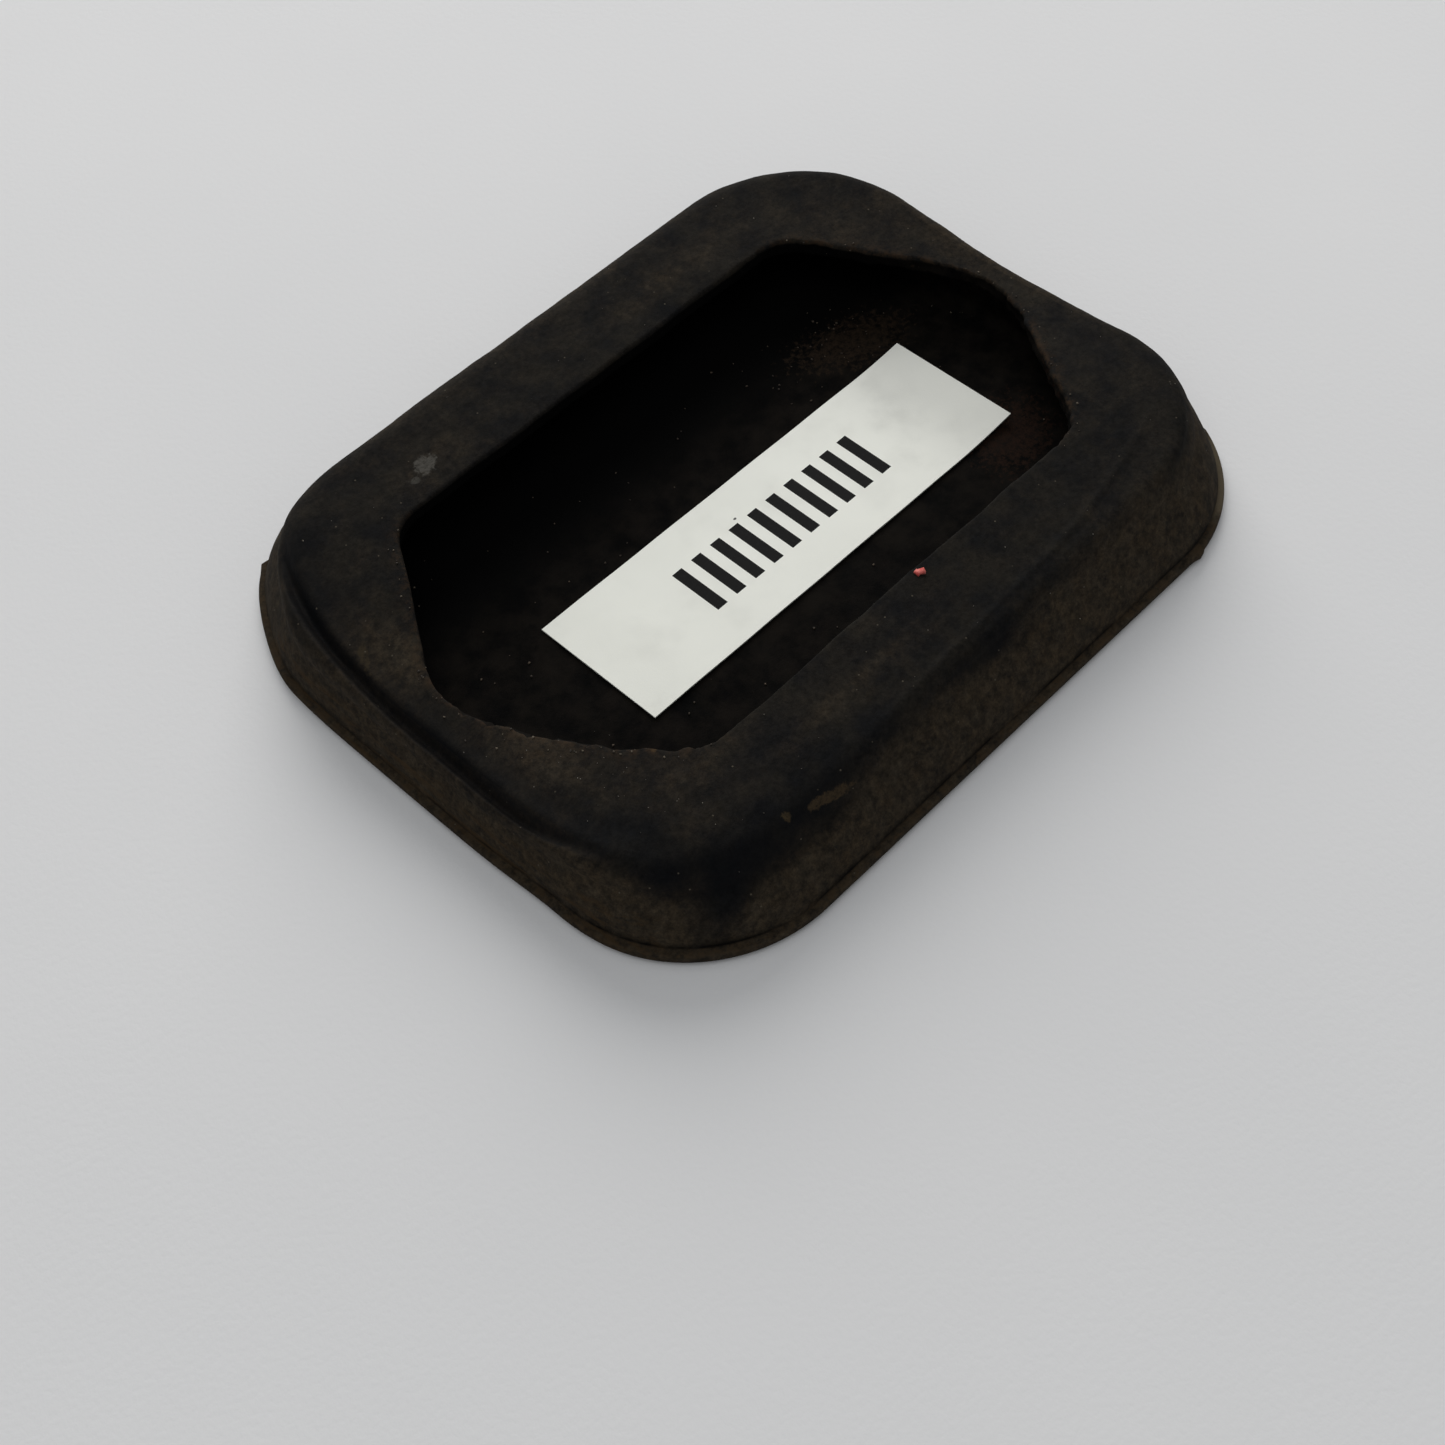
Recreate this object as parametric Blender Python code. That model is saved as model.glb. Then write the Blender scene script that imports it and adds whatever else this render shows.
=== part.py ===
"""Rubber pedal pad: a moulded tray that buttons over a foot pedal's metal plate, with a stock label in it.

It lies with its tread face down. Metres, +Z up, +X along the longer side. The origin is the centre of the
tread face, which is the bottom of the bounding box. Nothing on it moves.
"""

from math import cos, pi, radians, sin

import bmesh
import bpy
from mathutils import Vector

MM = 0.001

# Plan of the pad at its base, which is its widest level.
PAD_HALF_LENGTH = 33.9 * MM
PAD_HALF_WIDTH = 27.5 * MM
PAD_CORNER = 13.2 * MM

# Heights above the tread face.
BAND_TOP = 1.15 * MM
CREASE_Z = 1.35 * MM
FLOOR_Z = 2.0 * MM
LIP_UNDERSIDE = 6.3 * MM
RIM_Z = 7.6 * MM

# The side wall leans in more along the two long sides than at the two ends.
FLASH = 0.5 * MM
END_LEAN = 0.8 * MM
SIDE_LEAN = 2.0 * MM
SHOULDER = 2.4 * MM
RIM_CORNER_GROWTH = 2.0 * MM

# Pocket under the lip, and its fillet to the floor.
POCKET_HALF_LENGTH = 30.0 * MM
POCKET_HALF_WIDTH = 22.8 * MM
POCKET_CORNER = 10.0 * MM
POCKET_FILLET = 0.8 * MM

# Six-sided mouth: straight long edges, and slanted edges that meet in a rounded tip at each end.
MOUTH_HALF_WIDTH = 15.7 * MM
MOUTH_TIP = 29.0 * MM
MOUTH_TIP_RADIUS = 9.9 * MM
MOUTH_CORNER_RADIUS = 3.9 * MM
MOUTH_SLANT = radians(32.5)
MOUTH_EDGE_ROUND = 0.25 * MM

# The rim dips where the mouth's tips leave only a narrow strip of lip.
END_DIP = 1.05 * MM
DIP_STARTS_X = 18.0 * MM
DIP_FULL_X = 31.0 * MM
DIP_FADES_Y = 21.0 * MM

# Tread: blind grooves across the pad, with a land over the centre.
GROOVE_WIDTH = 2.2 * MM
GROOVE_PITCH = 6.4 * MM
GROOVE_DEPTH = 0.6 * MM
GROOVE_HALF_LENGTH = 19.0 * MM
GROOVES_EACH_SIDE = 4

# Label tape on the pocket floor.
LABEL_LENGTH = 40.0 * MM
LABEL_WIDTH = 12.0 * MM
LABEL_THICKNESS = 0.12 * MM
LABEL_GAP = 0.1 * MM
LABEL_CORNER = 0.3 * MM
LABEL_CENTRE = (2.2 * MM, -2.3 * MM)
LABEL_YAW = radians(-0.35)

# Steps in a quarter of every ring: half an end, a corner and half a long side.
END_STEPS = 6
CORNER_STEPS = 12
SIDE_STEPS = 6


def clear_scene():
    for obj in list(bpy.data.objects):
        bpy.data.objects.remove(obj, do_unlink=True)


def smoothstep(value, low, high):
    share = min(max((value - low) / (high - low), 0.0), 1.0)
    return share * share * (3.0 - 2.0 * share)


def between(start, end, steps):
    """Points from start towards end, without end itself."""
    return [start.lerp(end, i / steps) for i in range(steps)]


def arc(centre, radius, first, last, steps):
    """Points on a circle, from the angle first towards last, without last itself."""
    angles = [first + (last - first) * i / steps for i in range(steps)]
    return [centre + radius * Vector((cos(a), sin(a))) for a in angles]


def whole_ring(quarter):
    """Mirrors a quarter, which runs from the +X axis up to a last point on the +Y axis, into a full ring."""
    half = quarter + [Vector((-p.x, p.y)) for p in reversed(quarter[:-1])]
    return half + [Vector((p.x, -p.y)) for p in reversed(half[1:-1])]


def rounded_rectangle(half_x, half_y, corner):
    centre = Vector((half_x - corner, half_y - corner))
    quarter = between(Vector((half_x, 0)), Vector((half_x, centre.y)), END_STEPS)
    quarter += arc(centre, corner, 0, pi / 2, CORNER_STEPS)
    quarter += between(Vector((centre.x, half_y)), Vector((0, half_y)), SIDE_STEPS)
    return whole_ring(quarter + [Vector((0, half_y))])


def mouth_ring(grow=0.0):
    """Outline of the mouth, moved outwards by grow: rounded tip, slanted edge, rounded corner, long edge."""
    tip_radius = MOUTH_TIP_RADIUS + grow
    corner_radius = MOUTH_CORNER_RADIUS + grow
    half_width = MOUTH_HALF_WIDTH + grow
    normal = Vector((cos(MOUTH_SLANT), sin(MOUTH_SLANT)))
    tip_centre = Vector((MOUTH_TIP - MOUTH_TIP_RADIUS, 0))
    corner_y = half_width - corner_radius
    along = (tip_radius - corner_radius - corner_y * normal.y) / normal.x
    corner_centre = Vector((tip_centre.x + along, corner_y))
    slant_start = tip_centre + tip_radius * normal
    slant_end = corner_centre + corner_radius * normal
    half = CORNER_STEPS // 2
    quarter = arc(tip_centre, tip_radius, 0, MOUTH_SLANT, END_STEPS)
    quarter += between(slant_start, slant_end, half)
    quarter += arc(corner_centre, corner_radius, MOUTH_SLANT, pi / 2, half)
    quarter += between(Vector((corner_centre.x, half_width)), Vector((0, half_width)), SIDE_STEPS)
    return whole_ring(quarter + [Vector((0, half_width))])


def dip_at(x, y, z):
    """How far a point sinks: all of it at the rim in the middle of an end, none of it at the floor."""
    along = smoothstep(abs(x), DIP_STARTS_X, DIP_FULL_X)
    across = 1.0 - smoothstep(abs(y), 0.0, DIP_FADES_Y)
    upward = smoothstep(z, FLOOR_Z, LIP_UNDERSIDE)
    return END_DIP * along * across * upward


def at_height(ring, z):
    return [Vector((p.x, p.y, z - dip_at(p.x, p.y, z))) for p in ring]


def wall_ring(end_inset, side_inset, z):
    """A level of the outside, drawn in from the base plan by its own amount at the ends and the sides."""
    corner = PAD_CORNER - 0.5 * (end_inset + side_inset) + RIM_CORNER_GROWTH * z / RIM_Z
    ring = rounded_rectangle(PAD_HALF_LENGTH - end_inset, PAD_HALF_WIDTH - side_inset, corner)
    return at_height(ring, z)


def outer_rings():
    """From the tread face's border, round the flash line, up the wall and over the shoulder."""
    rings = [
        wall_ring(0.8 * MM, 0.8 * MM, 0.0),
        wall_ring(0.25 * MM, 0.25 * MM, 0.25 * MM),
        wall_ring(0.0, 0.0, 0.7 * MM),
        wall_ring(0.0, 0.0, BAND_TOP),
        wall_ring(FLASH, FLASH, CREASE_Z),
    ]
    wall_top = RIM_Z - SHOULDER
    for share in (0.35, 0.7, 1.0):
        lean = share**1.4
        z = CREASE_Z + share * (wall_top - CREASE_Z)
        rings.append(wall_ring(FLASH + lean * END_LEAN, FLASH + lean * SIDE_LEAN, z))
    for angle in (25, 50, 75, 90):
        inward = SHOULDER * (1.0 - cos(radians(angle)))
        z = wall_top + SHOULDER * sin(radians(angle))
        rings.append(wall_ring(FLASH + END_LEAN + 0.7 * inward, FLASH + SIDE_LEAN + inward, z))
    return rings


def lip_rings(shoulder_ring):
    """Across the top of the lip to the mouth, and down the mouth's face."""
    edge = mouth_ring(MOUTH_EDGE_ROUND)
    rings = []
    for share in (0.35, 0.7):
        plan = [a.to_2d().lerp(b, share) for a, b in zip(shoulder_ring, edge)]
        rings.append(at_height(plan, RIM_Z))
    rings.append(at_height(edge, RIM_Z))
    rings.append(at_height(mouth_ring(), RIM_Z - MOUTH_EDGE_ROUND))
    rings.append(at_height(mouth_ring(), LIP_UNDERSIDE))
    return rings


def pocket_rings():
    """Out under the lip, down the pocket's wall and onto its floor."""
    sizes = (POCKET_HALF_LENGTH, POCKET_HALF_WIDTH, POCKET_CORNER)
    wall = rounded_rectangle(*sizes)
    foot = rounded_rectangle(*(size - POCKET_FILLET for size in sizes))
    return [
        at_height(wall, LIP_UNDERSIDE),
        at_height(wall, FLOOR_Z + POCKET_FILLET),
        at_height(foot, FLOOR_Z),
    ]


def mesh_object(name, bm, material):
    mesh = bpy.data.meshes.new(name)
    bmesh.ops.recalc_face_normals(bm, faces=bm.faces)
    bm.to_mesh(mesh)
    bm.free()
    mesh.materials.append(material)
    mesh.shade_smooth()
    mesh.set_sharp_from_angle(angle=radians(40))
    obj = bpy.data.objects.new(name, mesh)
    bpy.context.scene.collection.objects.link(obj)
    return obj


def loft(rings):
    """A closed body: quads between neighbouring rings, and a flat face over the first and the last."""
    bm = bmesh.new()
    levels = [[bm.verts.new(p) for p in ring] for ring in rings]
    for low, high in zip(levels, levels[1:]):
        for i in range(len(low)):
            j = (i + 1) % len(low)
            bm.faces.new((low[i], low[j], high[j], high[i]))
    bm.faces.new(list(reversed(levels[0])))
    bm.faces.new(levels[-1])
    return bm


def principled(name, colour, roughness):
    material = bpy.data.materials.new(name)
    material.use_nodes = True
    shader = material.node_tree.nodes["Principled BSDF"]
    shader.inputs["Base Color"].default_value = (*colour, 1.0)
    shader.inputs["Roughness"].default_value = roughness
    shader.inputs["Metallic"].default_value = 0.0
    return material


def groove_cutter(index, x):
    """A slot with round ends that is sunk into the tread face from below."""
    end_radius = GROOVE_WIDTH / 2
    straight = GROOVE_HALF_LENGTH - end_radius
    outline = arc(Vector((x, straight)), end_radius, 0, pi, CORNER_STEPS)
    outline.append(Vector((x - end_radius, straight)))
    outline += arc(Vector((x, -straight)), end_radius, pi, 2 * pi, CORNER_STEPS)
    outline.append(Vector((x + end_radius, -straight)))
    below = [Vector((p.x, p.y, -GROOVE_DEPTH)) for p in outline]
    above = [Vector((p.x, p.y, GROOVE_DEPTH)) for p in outline]
    cutter = mesh_object(f"groove_cutter_{index}", loft([below, above]), None)
    cutter.hide_render = True
    cutter.display_type = "WIRE"
    return cutter


def cut_tread(pad):
    places = [(i + 0.5) * GROOVE_PITCH for i in range(GROOVES_EACH_SIDE)]
    for index, x in enumerate([-x for x in reversed(places)] + places):
        cut = pad.modifiers.new(f"groove_{index}", "BOOLEAN")
        cut.operation = "DIFFERENCE"
        cut.object = groove_cutter(index, x)


def make_pad():
    rubber = principled("moulded_rubber", (0.022, 0.021, 0.02), 0.72)
    outer = outer_rings()
    rings = outer + lip_rings(outer[-1]) + pocket_rings()
    pad = mesh_object("pedal_pad", loft(rings), rubber)
    cut_tread(pad)


def make_label():
    paper = principled("label_tape", (0.82, 0.84, 0.85), 0.55)
    outline = rounded_rectangle(LABEL_LENGTH / 2, LABEL_WIDTH / 2, LABEL_CORNER)
    low = [Vector((p.x, p.y, 0)) for p in outline]
    high = [Vector((p.x, p.y, LABEL_THICKNESS)) for p in outline]
    label = mesh_object("stock_label", loft([low, high]), paper)
    label.location = (*LABEL_CENTRE, FLOOR_Z + LABEL_GAP)
    label.rotation_euler.z = LABEL_YAW


clear_scene()
make_pad()
make_label()
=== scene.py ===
"""Looks of a moulded rubber pedal pad that lies tread down, with a stock label in its pocket.

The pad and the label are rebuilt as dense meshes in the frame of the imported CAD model, whose nodes they
replace. Shapes are worked out in millimetres and scaled to metres when a mesh is made.
"""

import random
from math import cos, pi, radians, sin

import bpy
import numpy as np
from mathutils import Matrix, Vector, noise
from mathutils.bvhtree import BVHTree


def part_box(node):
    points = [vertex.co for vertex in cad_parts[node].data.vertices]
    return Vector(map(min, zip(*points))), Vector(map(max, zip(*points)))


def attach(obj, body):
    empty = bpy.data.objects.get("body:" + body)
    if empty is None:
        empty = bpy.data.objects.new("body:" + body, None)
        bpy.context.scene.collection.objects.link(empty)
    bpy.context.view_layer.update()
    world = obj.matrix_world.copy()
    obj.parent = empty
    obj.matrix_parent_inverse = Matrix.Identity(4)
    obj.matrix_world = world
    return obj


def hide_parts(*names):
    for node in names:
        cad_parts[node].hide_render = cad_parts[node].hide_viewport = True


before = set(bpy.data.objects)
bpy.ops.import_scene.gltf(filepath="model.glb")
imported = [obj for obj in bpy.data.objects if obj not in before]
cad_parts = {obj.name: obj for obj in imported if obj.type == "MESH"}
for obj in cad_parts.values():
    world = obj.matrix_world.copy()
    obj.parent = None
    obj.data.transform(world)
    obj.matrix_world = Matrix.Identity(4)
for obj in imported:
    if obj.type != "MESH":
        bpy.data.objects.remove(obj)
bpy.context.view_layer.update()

MM = 0.001

# Size of the pad and the label, from the frame.
PAD_LOW, PAD_HIGH = (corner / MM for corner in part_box("pedal_pad"))
LABEL_LOW, LABEL_HIGH = (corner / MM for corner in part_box("stock_label"))
HALF_LENGTH = PAD_HIGH.x
HALF_WIDTH = PAD_HIGH.y
RIM_Z = PAD_HIGH.z
LABEL_CENTRE = (LABEL_LOW + LABEL_HIGH) / 2

# Plan and levels of the pad, as in its CAD source.
CORNER = 13.2
BAND_TOP = 1.15
FLOOR_Z = 2.0
LIP_UNDERSIDE = 6.3
FLASH = 0.5
END_LEAN = 0.8
SIDE_LEAN = 2.0
SHOULDER = 2.4
RIM_CORNER_GROWTH = 2.0
POCKET_HALF_LENGTH = 30.0
POCKET_HALF_WIDTH = 22.8
POCKET_CORNER = 10.0
POCKET_FILLET = 0.8
MOUTH_HALF_WIDTH = 15.7
MOUTH_TIP = 29.0
MOUTH_TIP_RADIUS = 9.9
MOUTH_CORNER_RADIUS = 3.9
MOUTH_SLANT = radians(32.5)
MOUTH_EDGE_ROUND = 0.25
MOUTH_FACE = (0.15, 0.3, 0.45, 0.6, 0.8, 1.0)  # shares of the way down the mouth's face that have a ring
END_DIP = 1.05
DIP_STARTS_X = 18.0
DIP_FULL_X = 31.0
DIP_FADES_Y = 21.0

# Tread grooves.
GROOVE_WIDTH = 2.2
GROOVE_PITCH = 6.4
GROOVE_DEPTH = 0.6
GROOVE_HALF_LENGTH = 19.0
GROOVES = 8

# Label tape.
LABEL_LENGTH = 40.0
LABEL_WIDTH = 12.0
LABEL_THICKNESS = 0.12
LABEL_YAW = radians(-0.35)
LABEL_CLEARANCE = 0.1  # over the pocket floor, which is uneven
LABEL_CURL = 0.4
BARS = 10
BAR_RUN = 19.5
BAR_HEIGHT = 4.9
BAR_SHARE = 0.5

# Loose dirt: the smallest and largest size of each kind, and where the two flecks of paint lie.
GRIT_SIZES = (0.07, 0.24)
CRUMB_SIZES = (0.06, 0.22)
SPECK_SIZES = (0.04, 0.1)
FLECK_SIZES = (0.4, 0.6)
FLECK_PLACES = ((1.8, -16.35), (1.55, -16.2))

# Camera, fitted to the photograph. Azimuth is 0 at -Y and 90 at +X, and the aim is a point on the floor.
CAMERA_AIM = Vector((-13.785, -10.957, 0.0))
CAMERA_AZIMUTH = radians(-43.589)
CAMERA_ELEVATION = radians(54.053)
CAMERA_DISTANCE = 163.98
CAMERA_ROLL = radians(-3.378)
CAMERA_LENS = 55.663
CAMERA_SENSOR = 36.0

# Floor and lights.
FLOOR_SIZE = 1800.0
FLOOR_GAP = 0.03
SOFTBOX_AIM = Vector((0, 0, 4.0))
SOFTBOX_DISTANCE = 900.0
SOFTBOX_SIZE = 800.0

# Steps in a quarter of every ring: half an end, a corner and half a long side.
END_STEPS = 30
CORNER_STEPS = 40
SIDE_STEPS = 42
QUARTER = END_STEPS + CORNER_STEPS + SIDE_STEPS
RING = 4 * QUARTER
# A core grid closes the tread and the pocket floor. Its corners lie on the middle of the rings' corners.
CORE_ROWS = 2 * (END_STEPS + CORNER_STEPS // 2)
CORE_COLUMNS = 2 * QUARTER - CORE_ROWS
TREAD_CORE = (24.8, 20.0)  # half length and half width of the grid in the tread
FLOOR_CORE = (22.0, 15.0)  # and in the pocket floor

# Folds and ridges in the old rubber: depth (down is positive), half width and a path in plan.
FOLDS = (
    # The valley behind the bead of the near end, and the slope into it.
    (1.1, 0.5, (
        (-25.4, 23.6), (-28.9, 18.6), (-30.9, 12.8), (-31.7, 6.0), (-31.8, -2.0), (-31.8, -11.0),
        (-30.0, -19.0),
    )),
    (0.3, 1.5, ((-25.8, 22.2), (-29.4, 14.0), (-30.6, 6.0), (-30.8, -2.0), (-30.6, -11.0), (-28.8, -18.0))),
    # The slack shoulder round the near corner.
    (0.45, 1.9, ((-29.6, -16.5), (-27.6, -21.4), (-24.0, -23.6), (-18.0, -24.2), (-12.0, -24.4))),
    # The ridge along the near side, and the hollow beside it.
    (-0.13, 0.35, ((29.0, -18.0), (21.0, -20.2), (12.6, -21.8), (4.1, -22.3), (-6.8, -22.9), (-14.0, -23.4))),
    (0.27, 0.5, ((7.0, -24.4), (3.0, -24.4), (-1.0, -24.0), (-5.0, -23.8))),
)
FULL_FOLD = 0.6
# Places where the outline or the mouth has moved: centre in plan, reach, and the move in plan.
OUTLINE_MOVES = (
    ((-31.5, 20.0), 6.0, (0.75, -0.5)),
    ((-33.0, -14.0), 5.0, (0.35, 0.1)),
)
MOUTH_MOVES = (
    ((-28.5, -3.5), 4.0, (0.55, 0.2)),
    ((-21.3, -14.0), 2.2, (0.3, 0.4)),
    ((28.5, 0.0), 4.0, (0.3, 0.0)),
)
# How far the shoulder stands out from a round one at the near end, and in from it along the near side.
NEAR_END_FULLNESS = 0.4
NEAR_SIDE_SLACK = 0.5
# The flash stands round the near half, between two bearings from the centre. It is trimmed off elsewhere.
FLASH_STARTS = radians(136.8)
FLASH_ENDS = radians(328.7)
FLASH_STEP = radians(0.7)
FLASH_NIBS = (
    ((-27.7, 25.8), 0.5, (-0.22, 0.12)),
    ((21.8, -27.6), 0.45, (0.18, -0.3)),
)

# Dust on the rubber: centre in plan, half lengths and how much is there. Negative places take the dust away
# as painted shade: darker rubber on the near corner's slope and along the near side.
DUST = (
    ((-29.2, 7.0), (2.4, 4.0), 0.9),
    ((-27.0, -6.0), (3.0, 5.0), 0.6),
    ((-22.0, -15.5), (5.5, 3.0), 0.25),
    ((31.0, 4.0), (2.5, 9.0), 0.35),
    ((0.0, 24.3), (22.0, 1.6), 0.3),
    ((-32.8, -13.0), (1.5, 4.5), 0.8),
    ((-30.0, -21.5), (4.5, 3.5), 0.35),
    ((-24.0, -26.8), (5.5, 1.4), 0.8),
    ((4.0, -25.8), (7.0, 1.6), 0.45),
    ((17.0, -24.5), (6.0, 2.0), 0.35),
    ((-9.0, -19.5), (7.0, 0.8), 0.35),
    ((-14.0, 18.6), (5.0, 2.2), 0.25),
    ((12.0, 19.0), (9.0, 1.5), 0.3),
    ((24.0, 12.0), (4.0, 5.0), 0.25),
    # Painted shade: these take the dust off the near corner's slope and the near side.
    ((-28.6, -19.0), (1.6, 3.2), -0.9),
    ((-25.6, -23.4), (3.4, 1.5), -0.9),
    ((0.8, -24.1), (2.2, 0.5), -0.5),
    ((-18.0, -23.3), (5.0, 1.3), -0.5),
)


def smoothstep(value, low, high):
    """0 below low, 1 above high and smooth between them."""
    share = np.clip((value - low) / (high - low), 0.0, 1.0)
    return share * share * (3.0 - 2.0 * share)


def line(start, end, steps):
    """Points from start towards end, without end itself."""
    shares = np.arange(steps)[:, None] / steps
    return np.array(start) * (1 - shares) + np.array(end) * shares


def arc(centre, radius, first, last, steps):
    """Points round an arc from angle first towards last, without last itself."""
    angles = first + (last - first) * np.arange(steps) / steps
    return np.array(centre) + radius * np.column_stack((np.cos(angles), np.sin(angles)))


def whole_ring(quarter, last):
    """Mirrors a quarter, from the +X axis up to a last point on the +Y axis, into a ring of RING points."""
    top = np.vstack((quarter, [last]))
    half = np.vstack((top, quarter[::-1] * (-1, 1)))
    return np.vstack((half, half[-2:0:-1] * (1, -1)))


def rounded_rectangle(half_x, half_y, corner):
    """A ring round a rectangle of these half sizes, with corners of this radius."""
    centre = (half_x - corner, half_y - corner)
    end = line((half_x, 0), (half_x, centre[1]), END_STEPS)
    bend = arc(centre, corner, 0, pi / 2, CORNER_STEPS)
    side = line((centre[0], half_y), (0, half_y), SIDE_STEPS)
    return whole_ring(np.vstack((end, bend, side)), (0, half_y))


def mouth_ring(grow=0.0):
    """Outline of the mouth, moved outwards by grow: rounded tip, slanted edge, rounded corner, long edge."""
    tip_radius = MOUTH_TIP_RADIUS + grow
    corner_radius = MOUTH_CORNER_RADIUS + grow
    half_width = MOUTH_HALF_WIDTH + grow
    normal = np.array((cos(MOUTH_SLANT), sin(MOUTH_SLANT)))
    tip_centre = np.array((MOUTH_TIP - MOUTH_TIP_RADIUS, 0))
    corner_y = half_width - corner_radius
    along = (tip_radius - corner_radius - corner_y * normal[1]) / normal[0]
    corner_centre = tip_centre + (along, corner_y)
    half = CORNER_STEPS // 2
    tip = arc(tip_centre, tip_radius, 0, MOUTH_SLANT, END_STEPS)
    slant = line(tip_centre + tip_radius * normal, corner_centre + corner_radius * normal, half)
    corner = arc(corner_centre, corner_radius, MOUTH_SLANT, pi / 2, half)
    side = line((corner_centre[0], half_width), (0, half_width), SIDE_STEPS)
    return whole_ring(np.vstack((tip, slant, corner, side)), (0, half_width))


def at_height(plan, z):
    """Lifts a plan to a height, less the dip in the middle of each end."""
    x, y = np.abs(plan).T
    dip = smoothstep(x, DIP_STARTS_X, DIP_FULL_X) * (1 - smoothstep(y, 0.0, DIP_FADES_Y))
    drop = END_DIP * dip * smoothstep(z, FLOOR_Z, LIP_UNDERSIDE)
    return np.column_stack((plan, z - drop))


def moved(plan, moves):
    """Shifts the points of a plan near each centre, most at the centre itself."""
    result = plan.copy()
    for centre, reach, shift in moves:
        distance = np.linalg.norm(plan - centre, axis=1)
        result += np.exp(-((distance / reach) ** 2))[:, None] * shift
    return result


def outward(plan):
    """The outward direction in plan at each point of a ring."""
    along = np.roll(plan, -1, axis=0) - np.roll(plan, 1, axis=0)
    along /= np.linalg.norm(along, axis=1)[:, None]
    return np.column_stack((along[:, 1], -along[:, 0]))


def trimmed(plan):
    """1 where the flash has been trimmed off and 0 where it still stands."""
    bearing = np.arctan2(plan[:, 1], plan[:, 0]) % (2 * pi)
    before = 1 - smoothstep(bearing, FLASH_STARTS - FLASH_STEP, FLASH_STARTS)
    after = smoothstep(bearing, FLASH_ENDS, FLASH_ENDS + FLASH_STEP)
    return np.maximum(before, after)


def wall_level(end_inset, side_inset, z):
    """A level of the outside, drawn in from the base plan by its own amount at the ends and the sides."""
    corner = CORNER - 0.5 * (end_inset + side_inset) + RIM_CORNER_GROWTH * z / RIM_Z
    plan = rounded_rectangle(HALF_LENGTH - end_inset, HALF_WIDTH - side_inset, corner)
    facing = outward(plan)
    if z <= BAND_TOP:
        plan = moved(plan - facing * (FLASH * trimmed(plan))[:, None], FLASH_NIBS)
    full = NEAR_END_FULLNESS * smoothstep(-facing[:, 0], 0.2, 1.0) * smoothstep(z, 4.5, 7.0)
    slack = NEAR_SIDE_SLACK * smoothstep(-facing[:, 1], 0.2, 1.0)
    slack *= smoothstep(z, 3.0, 6.6) * (1 - smoothstep(z, 6.6, RIM_Z))
    plan = plan + facing * (full - slack)[:, None]
    return at_height(moved(plan, OUTLINE_MOVES), z)


def band_levels():
    """Round the tread's border, up the band's face and in over the flash line to the crease."""
    foot = 0.7
    for angle in np.linspace(0, pi / 2, 7):
        inset = 0.8 * (1 - sin(angle))
        yield wall_level(inset, inset, foot * (1 - cos(angle)))
    yield wall_level(0, 0, BAND_TOP - 0.2)
    for angle in np.linspace(0, pi / 2, 4)[1:]:
        inset = 0.15 * (1 - cos(angle))
        yield wall_level(inset, inset, BAND_TOP - 0.2 + 0.2 * sin(angle))
    yield wall_level(0.38, 0.38, BAND_TOP)
    yield wall_level(FLASH + 0.06, FLASH + 0.06, BAND_TOP + 0.02)
    yield wall_level(FLASH + 0.04, FLASH + 0.04, BAND_TOP + 0.14)


def wall_levels():
    """Up the leaning wall and over the shoulder."""
    wall_foot = BAND_TOP + 0.3
    wall_top = RIM_Z - SHOULDER
    for share in np.linspace(0, 1, 15):
        lean = share**1.4
        z = wall_foot + share * (wall_top - wall_foot)
        yield wall_level(FLASH + lean * END_LEAN, FLASH + lean * SIDE_LEAN, z)
    for angle in np.linspace(0, pi / 2, 22)[1:]:
        inward = SHOULDER * (1 - cos(angle))
        z = wall_top + SHOULDER * sin(angle)
        yield wall_level(FLASH + END_LEAN + 0.7 * inward, FLASH + SIDE_LEAN + inward, z)


def torn(plan, depth=0.0):
    """The mouth's outline with its worn places: it is ragged round both ends, and nearly straight between."""
    far_end = smoothstep(plan[:, 0], 15.0, 21.0)
    near_arc = smoothstep(-plan[:, 0], 15.0, 20.0) * smoothstep(3.0 - plan[:, 1], 0.0, 4.0)
    rough = np.array([
        0.7 * noise.noise(Vector((x * 0.9, y * 0.9, 3.0 + depth)))
        + 0.5 * noise.noise(Vector((x * 2.6, y * 2.6, 9.0 + depth)))
        for x, y in plan
    ])
    wave = np.array([noise.noise(Vector((x * 0.22, y * 0.22, 5.0))) for x, y in plan])
    notches = np.array([noise.noise(Vector((x * 1.4, y * 1.4, 17.0 + depth))) for x, y in plan])
    push = rough * (0.05 + 0.26 * far_end + 0.3 * near_arc) + 0.1 * wave
    push += 0.3 * near_arc * smoothstep(notches, 0.2, 0.4)
    return moved(plan, MOUTH_MOVES) + outward(plan) * push[:, None]


def mouth_ledge(plan):
    """How far the torn lower part of the mouth's face stands in under the near end's edge."""
    near = smoothstep(-plan[:, 0], 17.0, 23.0) * smoothstep(4.0 - plan[:, 1], 0.0, 6.0)
    return 0.45 * near


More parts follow.
